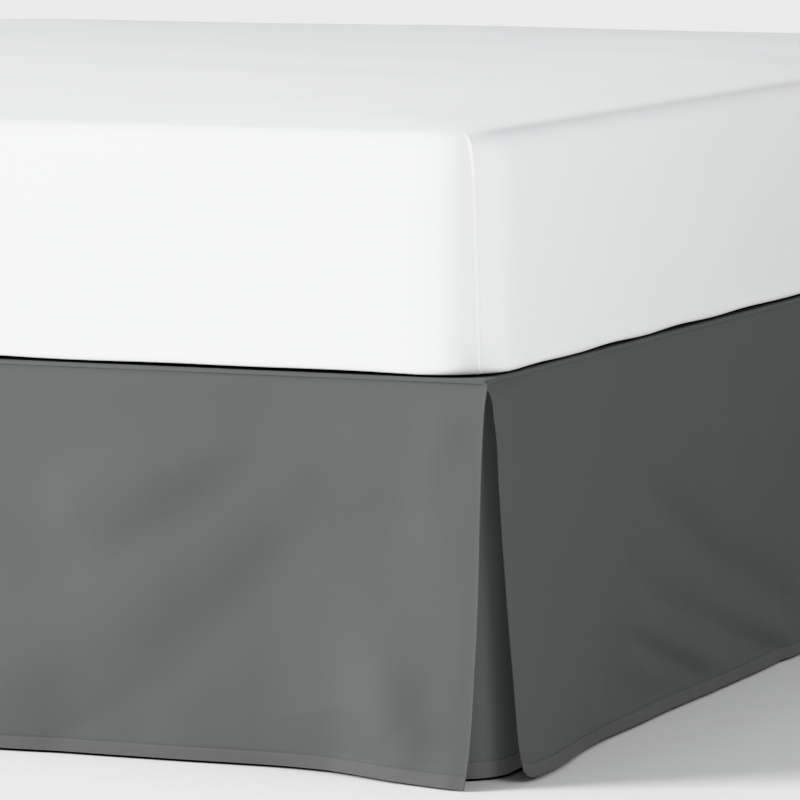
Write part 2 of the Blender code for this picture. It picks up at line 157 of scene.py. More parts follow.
# %% Tables for the hanging sheets, in millimetres
DROP = 381
LIP = 4
SEAM_CATCH = 0.6
CLOTH = 1.5
GAP = 0.3
HEM = 13
INSERT_HEM = 16
HEM_EXTRA = 0.4
HEM_STEP = 2
HEM_TINT_STEP = 1.0
HEM_REACH = 1.5

FOOT_HEM_ROWS = (
    # distance, outward
    (0, 58),
    (15, 57.5),
    (48, 48.5),
    (82, 39.5),
    (120, 26),
    (158, 11.5),
    (190, 4.5),
    (224, 1),
    (255, 1.5),
    (320, 4),
    (382, 5.5),
    (446, 4.5),
    (500, 8.5),
    (640, 6),
    (800, 3),
    (950, 7),
    (1100, 5),
    (1230, 3),
    (1330, 7),
    (1400, 18),
    (1440, 32),
    (1476, 44),
    (1510, 53),
    (1524, 55),
)
SIDE_HEM_ROWS = {
    "right": (
        # distance, outward
        (0, 38.5),
        (20, 42.5),
        (60, 43),
        (84, 41.5),
        (131, 35.5),
        (191, 25.5),
        (248, 21.5),
        (305, 22),
        (370, 22.5),
        (430, 22),
        (550, 22.5),
        (680, 20),
        (780, 20),
        (865, 20),
        (1000, 19),
        (1150, 23),
        (1320, 19),
        (1500, 23),
        (1680, 18),
        (1850, 21),
        (2032, 17),
    ),
    "left": (
        # distance, outward
        (0, 38),
        (25, 44),
        (80, 42),
        (140, 33),
        (200, 26),
        (300, 21),
        (420, 24),
        (560, 20),
        (720, 23),
        (900, 18),
        (1080, 22),
        (1260, 18),
        (1440, 22),
        (1640, 17),
        (1840, 21),
        (2032, 18),
    ),
}
FOOT_SPLIT_ROWS = (
    # depth, share of the hem's swing
    (6, 0.0),
    (20, 0.08),
    (63, 0.21),
    (93, 0.26),
    (130, 0.30),
    (194, 0.355),
    (237, 0.43),
    (272, 0.52),
    (318, 0.64),
    (350, 0.77),
    (381, 1.0),
)
SIDE_SPLIT_ROWS = (
    # depth, share of the hem's swing
    (6, 0.0),
    (15, 0.12),
    (35, 0.19),
    (63, 0.27),
    (94, 0.30),
    (132, 0.355),
    (196, 0.48),
    (247, 0.59),
    (290, 0.70),
    (323, 0.78),
    (356, 0.87),
    (381, 1.0),
)
FOOT_SPLIT_REACH = 220
SIDE_SPLIT_REACH = 260
FOOT_RISE_ROWS = ((0, -5.4), (48, -3.8), (82, -2.5), (120, -0.8), (160, 0.0))
SIDE_RISE_ROWS = ((0, 8.5), (4, 5.0), (10, 1.6), (18, 0.0))
FOOT_CREASES = (
    # half width, line of (distance, depth, height)
    (62, ((226, 56, -4.1), (237, 149, -0.8))),
    (22, ((246, 91, -1.7), (306, 143, -1.2), (378, 180, -2.7))),
    (45, ((138, 164, -4.5), (171, 163, -4.0))),
    (34, ((213, 181, -3.2), (293, 259, -3.8), (357, 305, -1.0), (373, 380, -2.9))),
    (32, ((206, 95, 3.7), (280, 83, 4.2), (309, 87, 4.0))),
    (54, ((301, 196, 4.8), (374, 202, 7.2), (477, 301, 6.9), (590, 330, 8.0))),
    (44, ((60, 74, -3.0), (84, 134, -5.5), (88, 200, -4.0))),
    (29, ((107, 268, 1.9), (83, 327, 8.0), (68, 340, 7.1))),
    (53, ((172, 239, -2.3), (138, 321, -1.2), (138, 363, -8.0))),
    (15, ((313, 300, -0.5), (376, 326, -0.9), (455, 376, -1.6))),
    (25, ((44, 55, 4.1), (55, 102, 3.2), (42, 173, 1.4))),
    (42, ((424, 136, 7.0), (363, 110, 7.1))),
    (66, ((128, 322, 8.0), (334, 240, 7.9))),
    (40, ((640, 70, -2.0), (720, 170, -5.0), (800, 300, -4.0))),
    (50, ((800, 120, 3.0), (900, 250, 5.0))),
    (30, ((960, 90, -2.0), (1010, 180, -4.5), (1080, 320, -3.0))),
    (45, ((1330, 100, -3.5), (1260, 190, -4.5), (1190, 310, -4.0))),
    (40, ((1400, 150, 4.0), (1330, 250, 5.0))),
    (32, ((1450, 280, 2.0), (1440, 340, 6.0))),
)
SIDE_CREASES = {
    "right": (
        # half width, line of (distance, depth, height)
        (25, ((385, 132, -1.5), (500, 190, -7.0), (638, 250, -7.6), (838, 317, -7.5), (900, 338, -2.0))),
        (17, ((355, 224, -1.4), (444, 265, -3.9), (556, 298, -4.9), (822, 375, -8.0))),
        (13, ((235, 284, -0.5), (350, 294, -3.0), (433, 318, -6.9), (614, 376, -3.4))),
        (30, ((234, 311, -1.3), (312, 332, -3.4), (385, 360, -7.0), (547, 377, -7.0))),
        (66, ((203, 145, 2.9), (215, 363, 7.0))),
        (66, ((64, 53, -3.4), (76, 220, -2.3))),
        (40, ((960, 80, -1.0), (1060, 180, -5.0), (1160, 320, -4.0))),
        (22, ((1120, 150, -1.0), (1230, 220, -5.0), (1390, 300, -5.0), (1480, 345, -2.0))),
        (60, ((1330, 100, 3.5), (1420, 260, 4.5))),
        (26, ((1560, 170, -1.0), (1650, 240, -5.0), (1790, 340, -4.0))),
        (60, ((1700, 80, -3.0), (1620, 220, -4.0))),
    ),
    "left": (
        # half width, line of (distance, depth, height)
        (40, ((260, 60, -1.5), (380, 140, -6.0), (520, 270, -5.0))),
        (20, ((330, 230, -1.0), (450, 290, -5.0), (600, 350, -4.0))),
        (55, ((700, 120, 3.0), (800, 290, 5.0))),
        (26, ((860, 150, -1.0), (980, 220, -5.5), (1150, 310, -4.0))),
        (60, ((1220, 80, -4.0), (1130, 240, -4.0))),
        (24, ((1420, 160, -1.0), (1530, 230, -5.0), (1680, 330, -4.0))),
        (60, ((1650, 90, 3.0), (1750, 250, 4.0))),
    ),
}
CREASE_FADE = 30
HEM_STIFFNESS = 0.6
HEM_STIFF_REACH = 24
print("foot creases:", len(FOOT_CREASES), "side creases:", {k: len(v) for k, v in SIDE_CREASES.items()})

# %% [markdown]
# ## From tables to cloth
#
# The height field of a panel is the hem's swing times how far down the place is, plus the creases. Sewing
# adds its own fine relief: the doubled cloth of the hem stands a little proud, the stitches pull a dent,
# the turned side edge curls, and the top edge tucks into the seam and sinks in a soft valley under the
# platform's lip.

# %% The outward shape of the panels
EDGE_CURL = 0.5
EDGE_CURL_REACH = 5
SIDE_TURN = 6
SIDE_TURN_EXTRA = 0.12
SIDE_TURN_STEP = 1.0
STITCH_DENT = 0.35
STITCH_DENT_WIDTH = 1.3
SEAM_TUCK = 0.6
SEAM_TUCK_WIDTH = 1.3
VALLEY_DEPTH = 1.4
VALLEY_REACH = 5
UNEVEN_HEIGHT = 0.45
UNEVEN_SIZE = 210
PUCKER_HEIGHT = 0.10
PUCKER_SIZE = 17
PUCKER_REACH = 12


def crease_height(creases, along, depth):
    """The sum of the soft troughs and ridges at each place."""
    total = np.zeros_like(along)
    for half_width, line in creases:
        nearest = np.full_like(along, np.inf)
        height = np.zeros_like(along)
        for (a, b, low), (c, d, high) in zip(line, line[1:]):
            length = (c - a) ** 2 + (d - b) ** 2
            t = np.clip(((along - a) * (c - a) + (depth - b) * (d - b)) / length, 0, 1)
            distance = np.hypot(along - a - t * (c - a), depth - b - t * (d - b))
            height = np.where(distance < nearest, low + t * (high - low), height)
            nearest = np.minimum(nearest, distance)
        total += height * bell(nearest, half_width)
    return total


def crease_share(depth, from_free_edge):
    """Creases fade out under the seam, beside the split edges, and partly in the stiff hem."""
    share = (1 - fade(depth, CREASE_FADE)) * (1 - fade(from_free_edge, CREASE_FADE))
    return share * (1 - HEM_STIFFNESS * fade(DROP - depth, HEM_STIFF_REACH))


def panel_outward(along, depth, hem_rows, split, split_rows, creases):
    """How far a panel stands out, before its sewing."""
    profile = split * smooth_through(split_rows, depth) + (1 - split) * depth / DROP
    return smooth_through(hem_rows, along) * profile + creases


def sewing_relief(along, depth, from_side, curl, hem, seed):
    """What the hem, its stitches, the turned side edges and the seam add to a sheet."""
    stitch = DROP - hem
    relief = HEM_EXTRA * (1 - fade(depth - stitch, HEM_STEP))
    relief -= STITCH_DENT * bell(depth - stitch, STITCH_DENT_WIDTH)
    relief += SIDE_TURN_EXTRA * fade(from_side - SIDE_TURN, SIDE_TURN_STEP)
    relief += curl * np.clip(1 - from_side / EDGE_CURL_REACH, 0, 1) ** 2
    from_seam = depth - LIP + SEAM_CATCH
    relief -= SEAM_TUCK * np.exp(-from_seam / SEAM_TUCK_WIDTH)
    relief -= VALLEY_DEPTH * from_seam / VALLEY_REACH * np.exp(1 - from_seam / VALLEY_REACH)
    relief += UNEVEN_HEIGHT * soft_waves(along, depth, seed, UNEVEN_SIZE) * (1 - fade(depth, CREASE_FADE))
    pucker = soft_waves(along, depth, seed + 1, PUCKER_SIZE)
    relief += PUCKER_HEIGHT * pucker * bell(depth - stitch, PUCKER_REACH)
    return relief


# %% [markdown]
# ## A sheet of cloth
#
# A flat grid is the natural start for cloth. The grid operator makes the faces, and each vertex is then
# moved to the place that the tables give. The cloth's own flat measurements become its UV map, in metres,
# so a weave keeps its size on every fold. Solidify gives the thickness, and a small bevel rounds the cut
# rim.

# %% Make a sheet from a grid of points
RIM_ROUND = 0.45 * MM
RIM_STEPS = 2
RIM_ANGLE = math.radians(50)


def sheet_mesh(name, points, flat_u, flat_v, hem_share):
    """A grid mesh whose vertices take the places in points, an array of (columns, rows, 3)."""
    columns, rows = points.shape[:2]
    shape = bmesh.new()
    bmesh.ops.create_grid(shape, x_segments=columns - 1, y_segments=rows - 1, size=0.5)
    mesh = bpy.data.meshes.new(name)
    shape.to_mesh(mesh)
    shape.free()
    start = np.empty(len(mesh.vertices) * 3)
    mesh.vertices.foreach_get("co", start)
    start = start.reshape(-1, 3)
    column = np.rint((start[:, 0] + 0.5) * (columns - 1)).astype(int)
    row = np.rint((0.5 - start[:, 1]) * (rows - 1)).astype(int)
    mesh.vertices.foreach_set("co", points[column, row].astype(np.float32).ravel())
    corner = np.empty(len(mesh.loops), int)
    mesh.loops.foreach_get("vertex_index", corner)
    flat = np.stack([flat_u[column, row], flat_v[column, row]], axis=1)[corner]
    mesh.uv_layers.new(name="cloth").data.foreach_set("uv", flat.astype(np.float32).ravel())
    hem = mesh.attributes.new("hem", "FLOAT", "POINT")
    hem.data.foreach_set("value", hem_share[column, row].astype(np.float32))
    mesh.update()
    return mesh


def face_towards(mesh, facing):
    """Turns the mesh's faces over if they look away from a direction."""
    if sum(face.normal.dot(facing) * face.area for face in mesh.polygons) < 0:
        mesh.flip_normals()


def add_piece(name, mesh, finish):
    made = bpy.data.objects.new(name, mesh)
    bpy.context.scene.collection.objects.link(made)
    mesh.materials.append(finish)
    mesh.shade_smooth()
    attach(made, "root")
    return made


def thicken(piece, thickness):
    """Gives a sheet its thickness behind its outer face, and rounds the rim."""
    wall = piece.modifiers.new("Cloth", "SOLIDIFY")
    wall.thickness = thickness
    wall.offset = -1
    wall.use_even_offset = True
    rim = piece.modifiers.new("Rim", "BEVEL")
    rim.width = RIM_ROUND
    rim.segments = RIM_STEPS
    rim.limit_method = "ANGLE"
    rim.angle_limit = RIM_ANGLE


def hanging_points(along, depth, out, rise, to_world):
    """Hangs each place at its own length of cloth under the platform."""
    fall = np.sqrt(np.maximum(depth**2 - out**2, (LIP - SEAM_CATCH) ** 2))
    height = PLATFORM_HEIGHT / MM - fall + (rise - HEM_REACH) * (depth / DROP) ** 2
    return np.stack(to_world(along, out, height), axis=-1) * MM


# %% [markdown]
# ## Shader groups that several finishes share
#
# Woven cloth looks woven because its yarns rise and dip in turn. Sine waves along the cloth's two
# directions give that relief at any pitch, and noise breaks up its evenness. As a node group with named
# sockets it serves the skirt's microfibre, the white cotton and the ticking alike, each with its own pitch.


# %% Node helpers
def group_socket(group, name, kind, direction, value=None):
    socket = group.interface.new_socket(name=name, in_out=direction, socket_type=kind)
    if value is not None:
        socket.default_value = value
    return socket


def math_node(tree, operation, first, second=None):
    """A Math node fed by sockets or numbers. It returns its output."""
    node = tree.nodes.new("ShaderNodeMath")
    node.operation = operation
    for number, value in enumerate((first, second)):
        if isinstance(value, bpy.types.NodeSocket):
            tree.links.new(value, node.inputs[number])
        elif value is not None:
            node.inputs[number].default_value = value
    return node.outputs[0]


def noise_node(tree, vector, scale, detail, roughness=0.5):
    node = tree.nodes.new("ShaderNodeTexNoise")
    node.inputs["Detail"].default_value = detail
    node.inputs["Roughness"].default_value = roughness
    tree.links.new(vector, node.inputs["Vector"])
    if isinstance(scale, bpy.types.NodeSocket):
        tree.links.new(scale, node.inputs["Scale"])
    else:
        node.inputs["Scale"].default_value = scale
    return node.outputs["Fac"]


# %% The woven cloth group
WEAVE_INPUTS = (("Yarns per metre", 1200.0), ("Nap scale", 500.0), ("Patch scale", 9.0))
WEAVE_OUTPUTS = ("Yarn height", "Nap", "Patches")
YARN_SHARE = 0.5
NAP_DETAIL = 3.0
NAP_ROUGHNESS = 0.6
PATCH_DETAIL = 2.0


def make_weave_group():
    group = bpy.data.node_groups.new("woven cloth", "ShaderNodeTree")
    group_socket(group, "Place", "NodeSocketVector", "INPUT")
    for name, value in WEAVE_INPUTS:
        group_socket(group, name, "NodeSocketFloat", "INPUT", value)
    for name in WEAVE_OUTPUTS:
        group_socket(group, name, "NodeSocketFloat", "OUTPUT")
    start = group.nodes.new("NodeGroupInput")
    end = group.nodes.new("NodeGroupOutput")
    parts = group.nodes.new("ShaderNodeSeparateXYZ")
    group.links.new(start.outputs["Place"], parts.inputs[0])
    turn = math_node(group, "MULTIPLY", start.outputs["Yarns per metre"], math.pi)
    total = None
    for axis in range(3):
        angle = math_node(group, "MULTIPLY", parts.outputs[axis], turn)
        wave = math_node(group, "SINE", angle)
        square = math_node(group, "MULTIPLY", wave, wave)
        total = square if total is None else math_node(group, "ADD", total, square)
    group.links.new(math_node(group, "MULTIPLY", total, YARN_SHARE), end.inputs["Yarn height"])
    place = start.outputs["Place"]
    nap = noise_node(group, place, start.outputs["Nap scale"], NAP_DETAIL, NAP_ROUGHNESS)
    patches = noise_node(group, place, start.outputs["Patch scale"], PATCH_DETAIL)
    group.links.new(nap, end.inputs["Nap"])
    group.links.new(patches, end.inputs["Patches"])
    return group


weave_group = make_weave_group()
print("group sockets:", [item.name for item in weave_group.interface.items_tree])

# %% [markdown]
# ## The skirt's microfibre
#
# Brushed microfibre is matt with a faint bloom at the edges, which the Sheen input gives. The colour shifts
# a little from patch to patch, where the nap lies differently. The hem's colour is lighter, partly because
# no light is lost through the doubled cloth and partly as a painted highlight for the light that the
# hem's outward tilt and its creases catch.


# %% Cloth finishes
SHEEN_ROUGHNESS = 0.5
CLOTH_SPECULAR = 0.12


def new_material(name):
    finish = bpy.data.materials.new(name)
    finish.use_nodes = True
    return finish, finish.node_tree, finish.node_tree.nodes["Principled BSDF"]


def mix_colours(tree, share, first, second):
    """A Mix node between two colours, sockets or values. It returns its output."""
    node = tree.nodes.new("ShaderNodeMix")
    node.data_type = "RGBA"
    tree.links.new(share, node.inputs[0])
    for number, value in ((6, first), (7, second)):
        if isinstance(value, bpy.types.NodeSocket):
            tree.links.new(value, node.inputs[number])
        else:
            node.inputs[number].default_value = (*value, 1)
    return node.outputs[2]


def cloth_place(tree, follows_cloth):
    """Flat cloth measurements where the sheet has them, and the object's own space elsewhere."""
    if follows_cloth:
        node = tree.nodes.new("ShaderNodeUVMap")
        node.uv_map = "cloth"
        return node.outputs["UV"]
    return tree.nodes.new("ShaderNodeTexCoord").outputs["Object"]


def cloth_material(
    name, dark, light, hem_tone_and_painted_light, follows_cloth, yarns, nap_scale, patch_scale, relief, sheen, rough
):
    """Woven cloth. relief is (yarn height, nap height) in metres, rough is (lowest, highest)."""
    finish, tree, shader = new_material(name)
    weave = tree.nodes.new("ShaderNodeGroup")
    weave.node_tree = weave_group
    tree.links.new(cloth_place(tree, follows_cloth), weave.inputs["Place"])
    weave.inputs["Yarns per metre"].default_value = yarns
    weave.inputs["Nap scale"].default_value = nap_scale
    weave.inputs["Patch scale"].default_value = patch_scale
    colour = mix_colours(tree, weave.outputs["Patches"], dark, light)
    # The hem band gets a lighter colour: partly the doubled cloth, partly a painted highlight for the light
    # its tilt and creases catch.
    if hem_tone_and_painted_light:
        hem = tree.nodes.new("ShaderNodeAttribute")
        hem.attribute_name = "hem"
        colour = mix_colours(tree, hem.outputs["Fac"], colour, hem_tone_and_painted_light)
    tree.links.new(colour, shader.inputs["Base Color"])
    spread = math_node(tree, "MULTIPLY", weave.outputs["Nap"], rough[1] - rough[0])
    tree.links.new(math_node(tree, "ADD", spread, rough[0]), shader.inputs["Roughness"])
    yarn = math_node(tree, "MULTIPLY", weave.outputs["Yarn height"], relief[0])
    nap = math_node(tree, "MULTIPLY", weave.outputs["Nap"], relief[1])
    bump = tree.nodes.new("ShaderNodeBump")
    bump.inputs["Strength"].default_value = 1.0
    bump.inputs["Distance"].default_value = 1.0
    tree.links.new(math_node(tree, "ADD", yarn, nap), bump.inputs["Height"])
    tree.links.new(bump.outputs["Normal"], shader.inputs["Normal"])
    shader.inputs["Sheen Weight"].default_value = sheen
    shader.inputs["Sheen Roughness"].default_value = SHEEN_ROUGHNESS
    shader.inputs["Specular IOR Level"].default_value = CLOTH_SPECULAR
    return finish


SKIRT_DARK = (0.126, 0.131, 0.128)
SKIRT_LIGHT = (0.133, 0.138, 0.135)
# The hem's colour: the doubled cloth's own lighter tone, plus a painted highlight for the light that the
# hem's tilt and creases catch.
SKIRT_HEM_TONE_AND_PAINTED_LIGHT = (0.138, 0.141, 0.138)
COVER_DARK = (0.890, 0.893, 0.896)
COVER_LIGHT = (0.915, 0.917, 0.920)
TICKING_DARK = (0.60, 0.60, 0.585)
TICKING_LIGHT = (0.68, 0.68, 0.665)
SKIRT_WEAVE = {
    "yarns": 1700, "nap_scale": 650, "patch_scale": 8,
    "relief": (0.00002, 0.00005), "sheen": 0.06, "rough": (0.78, 0.92),
}
COVER_WEAVE = {
    "yarns": 1500, "nap_scale": 300, "patch_scale": 5,
    "relief": (0.00001, 0.00002), "sheen": 0.05, "rough": (0.6, 0.75),
}
TICKING_WEAVE = {
    "yarns": 900, "nap_scale": 250, "patch_scale": 12,
    "relief": (0.00006, 0.00004), "sheen": 0.1, "rough": (0.75, 0.9),
}
skirt_cloth = cloth_material("skirt microfibre", SKIRT_DARK, SKIRT_LIGHT, SKIRT_HEM_TONE_AND_PAINTED_LIGHT, True, **SKIRT_WEAVE)
deck_cloth = cloth_material("platform microfibre", SKIRT_DARK, SKIRT_LIGHT, None, False, **SKIRT_WEAVE)
cover_cloth = cloth_material("cover cotton", COVER_DARK, COVER_LIGHT, None, False, **COVER_WEAVE)
foundation_cloth = cloth_material(
    "foundation ticking", TICKING_DARK, TICKING_LIGHT, None, False, **TICKING_WEAVE
)
print("cloth finishes:", skirt_cloth.name, cover_cloth.name, foundation_cloth.name)

# %% [markdown]
# ## Hem stitches
#
# A blind hem still shows its thread as small dents with a dot of thread in each. Every stitch is a tiny
# stretched icosphere, only twenty faces, half sunk into the cloth. All the stitches of a hem are one mesh.

# %% Stitches along a line of points
STITCH_PITCH = 3.4
STITCH_LENGTH = 2.3
STITCH_WIDTH = 0.5
STITCH_PROUD = 0.12


def add_stitches(name, line, outward, finish):
    """Stitches along a line of points, one every pitch. outward is the cloth's outer side at each."""
    steps = np.linalg.norm(np.diff(line, axis=0), axis=1)
    distance = np.concatenate([[0], np.cumsum(steps)]) / MM
    places = np.arange(STITCH_PITCH, distance[-1] - STITCH_PITCH, STITCH_PITCH)
    threads = bmesh.new()
    for place in places:
        here = Vector([np.interp(place, distance, line[:, axis]) for axis in range(3)])
        ahead = Vector([np.interp(place + 1, distance, line[:, axis]) for axis in range(3)])
        out = Vector([np.interp(place, distance, outward[:, axis]) for axis in range(3)]).normalized()
        along = (ahead - here).normalized()
        across = along.cross(out).normalized()
        turn = Matrix((along, across, out)).transposed().to_4x4()
        size = Matrix.Diagonal((STITCH_LENGTH * MM, STITCH_WIDTH * MM, STITCH_WIDTH * MM, 1))
        bmesh.ops.create_icosphere(
            threads, subdivisions=1, radius=0.5,
            matrix=Matrix.Translation(here + out * STITCH_PROUD * MM) @ turn @ size,
        )
    mesh = bpy.data.meshes.new(name)
    threads.to_mesh(mesh)
    threads.free()
    made = add_piece(name, mesh, finish)
    print(name, len(places), "stitches")
    return made


# %% [markdown]
# ## The two kinds of panel
#
# The foot panel and the side panels are the same recipe with other tables. Columns crowd towards the free
# edges and rows crowd round the stitch line, because that is where the cloth bends most sharply. Everywhere
# else a vertex each four or five millimetres is plenty for folds as soft as these.

# %% Rows and columns
COLUMN_STEP = 4.5
EDGE_STEP = 0.6
EDGE_GROWTH = 1.22
ROW_STEP = 4.2
ROW_START = 0.5
ROW_GROWTH = 1.3
HEM_ROW_STEP = 2.2


def growing_places(end, step, first, growth):
    """Places from 0 to the end. Their steps grow from both ends to the full step."""
    places = [0.0]
    width = first
    while places[-1] < end / 2:
        places.append(places[-1] + width)
        width = min(width * growth, step)
    half = np.array(places) * (end / 2) / places[-1]
    return np.concatenate([half, end - half[-2::-1]])


def row_depths(hem):
    """Depths from the seam to the hem's edge, crowded at the seam, the stitch line and the edge."""
    top = LIP - SEAM_CATCH
    stitch = DROP - hem
    upper = growing_places(stitch - top, ROW_STEP, ROW_START, ROW_GROWTH) + top
    lower = growing_places(hem, HEM_ROW_STEP, ROW_START, ROW_GROWTH) + stitch
    return np.concatenate([upper, lower[1:]])


foot_columns = growing_places(BED_WIDTH / MM, COLUMN_STEP, EDGE_STEP, EDGE_GROWTH)
print("rows:", len(row_depths(HEM)), "foot columns:", len(foot_columns))


# %% Hang a panel
def add_panel(name, columns, outward, rise, to_world, facing):
    along, depth = np.meshgrid(columns, row_depths(HEM), indexing="ij")
    out = outward(along, depth)
    points = hanging_points(along, depth, out, rise(along), to_world)
    # This share marks the hem band, whose colour is lighter: doubled cloth plus a painted highlight.
    hem_share = 1 - fade(depth - (DROP - HEM), HEM_TINT_STEP)
    mesh = sheet_mesh(name, points, along * MM, depth * MM, hem_share)
    face_towards(mesh, Vector(facing))
    panel = add_piece(name, mesh, skirt_cloth)
    thicken(panel, CLOTH * MM)
    stitch_row = int(np.argmin(abs(depth[0] - (DROP - HEM))))
    line = points[:, stitch_row]
    stitches = add_stitches(f"{name}_stitches", line, np.tile(facing, (len(line), 1)), skirt_cloth)
    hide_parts(name)
    print(name, len(mesh.polygons), "faces")
    return panel


# %% The foot panel
FOOT_SEED = 11


def foot_outward(along, depth):
    far_corner = BED_WIDTH / MM - along
    nearest = np.minimum(along, far_corner)
    split = np.maximum(fade(along, FOOT_SPLIT_REACH), fade(far_corner, FOOT_SPLIT_REACH))
    creases = crease_height(FOOT_CREASES, along, depth) * crease_share(depth, nearest)
    shape = panel_outward(along, depth, FOOT_HEM_ROWS, split, FOOT_SPLIT_ROWS, creases)
    return shape + sewing_relief(along, depth, nearest, EDGE_CURL, HEM, FOOT_SEED)


def foot_rise(along):
    return smooth_through(FOOT_RISE_ROWS, np.minimum(along, BED_WIDTH / MM - along))


def foot_to_world(along, out, height):
    return (SIDE_X / MM - along, FOOT_Y / MM - out, height)


foot_panel = add_panel("foot_panel", foot_columns, foot_outward, foot_rise, foot_to_world, (0, -1, 0))

# %% The side panels
SIDE_SEED = {"right": 23, "left": 37}
SIDE_START = CLOTH + GAP
SIDE_COLUMN_STEP = 5.5


def add_side_panel(hand):
    side = 1 if hand == "right" else -1
    reach = (BED_LENGTH / MM - SIDE_START) / (BED_LENGTH / MM)

    def outward(along, depth):
        split = fade(along, SIDE_SPLIT_REACH)
        nearest = np.minimum(along, BED_LENGTH / MM - along)
        creases = crease_height(SIDE_CREASES[hand], along, depth) * crease_share(depth, along)
        shape = panel_outward(along, depth, SIDE_HEM_ROWS[hand], split, SIDE_SPLIT_ROWS, creases)
        return shape + sewing_relief(along, depth, nearest, -EDGE_CURL, HEM, SIDE_SEED[hand])

    def rise(along):
        return smooth_through(SIDE_RISE_ROWS, along)

    def to_world(along, out, height):
        return (side * (SIDE_X / MM + out), FOOT_Y / MM + SIDE_START + along * reach, height)

    columns = growing_places(BED_LENGTH / MM, SIDE_COLUMN_STEP, EDGE_STEP, EDGE_GROWTH)
    return add_panel(f"side_panel_{hand}", columns, outward, rise, to_world, (side, 0, 0))


side_panels = [add_side_panel(hand) for hand in ("right", "left")]

# %% [markdown]
# ## The inserts behind the splits
#
# Each insert is a narrow piece of the same cloth. It bends softly round the corner under the platform and
# opens into a wider bend at the hem, so it looks like part of a cone.

# %% Hang the corner inserts
INSERT_HALF = 120
INSERT_CORNER_TOP = 36
INSERT_CORNER_HEM = 57
INSERT_OUT = {"foot": 14, "side": 8}
INSERT_END_OUT = 1.5
INSERT_SETBACK = CLOTH + VALLEY_DEPTH
INSERT_COLUMN_STEP = 2.6


def insert_plan(path, share):
    """Plan place of the insert's outer face. The bed lies towards -x and +y of its corner at (0, 0)."""
    radius = INSERT_CORNER_TOP + (INSERT_CORNER_HEM - INSERT_CORNER_TOP) * share
    towards_end = np.minimum(abs(path) / INSERT_HALF, 1.0) ** 2
    out = {}
    for name, near_corner in INSERT_OUT.items():
        here = near_corner + (INSERT_END_OUT - near_corner) * towards_end
        out[name] = -INSERT_SETBACK + (here + INSERT_SETBACK) * share
    quarter = radius * math.pi / 4
    turn = math.pi / 4 - path / radius
    straight = abs(path) - quarter + radius
    round_x = out["side"] - radius + radius * np.cos(turn)
    round_y = radius - out["foot"] - radius * np.sin(turn)
    on_foot = path < 0
    straight_x = np.where(on_foot, out["side"] - straight, out["side"])
    straight_y = np.where(on_foot, -out["foot"], straight - out["foot"])
    bent = abs(path) < quarter
    return np.where(bent, round_x, straight_x), np.where(bent, round_y, straight_y)


def add_corner_insert(hand):
    side = 1 if hand == "right" else -1
    name = f"corner_insert_{hand}"
    columns = growing_places(2 * INSERT_HALF, INSERT_COLUMN_STEP, EDGE_STEP, EDGE_GROWTH) - INSERT_HALF
    path, depth = np.meshgrid(columns, row_depths(INSERT_HEM), indexing="ij")
    share = (depth - depth[0, 0]) / (DROP - depth[0, 0])
    x, y = insert_plan(path, share)
    stitch = DROP - INSERT_HEM
    proud = HEM_EXTRA * (1 - fade(depth - stitch, HEM_STEP))
    proud -= STITCH_DENT * bell(depth - stitch, STITCH_DENT_WIDTH)
    lean = np.clip(path / INSERT_CORNER_HEM, -1, 1) * math.pi / 4 + math.pi / 4
    x = x + proud * np.sin(lean)
    y = y - proud * np.cos(lean)
    height = PLATFORM_HEIGHT / MM - depth - HEM_REACH * share
    points = np.stack([side * (SIDE_X / MM + x), FOOT_Y / MM + y, height], axis=-1) * MM
    # This share marks the hem band, whose colour is lighter: doubled cloth plus a painted highlight.
    hem_share = 1 - fade(depth - stitch, HEM_TINT_STEP)
    mesh = sheet_mesh(name, points, path * MM, depth * MM, hem_share)
    face_towards(mesh, Vector((side, -1, 0)))
    insert = add_piece(name, mesh, skirt_cloth)
    thicken(insert, CLOTH * MM)
    stitch_row = int(np.argmin(abs(depth[0] - stitch)))
    outward = np.stack([side * np.sin(lean), -np.cos(lean), np.zeros_like(lean)], axis=-1)
    stitches = add_stitches(f"{name}_stitches", points[:, stitch_row], outward[:, stitch_row], skirt_cloth)
    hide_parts(name)
    print(name, len(mesh.polygons), "faces")
    return insert


corner_inserts = [add_corner_insert(hand) for hand in ("right", "left")]

# %% [markdown]
# ## The platform cloth
#
# The platform is one flat cloth. Its foot edge and long edges are rolled over and turned down into a narrow
# lip that the drop is sewn to. A single quad with bevelled corners is enough to start: its edges are
# extruded down, and the fold is bevelled into a round roll.

# %% Make the deck
DECK_CORNER = 4 * MM
DECK_ROLL = 3.4 * MM
DECK_TUCK = 1.0 * MM
DECK_CORNER_STEPS = 6
DECK_ROLL_STEPS = 5


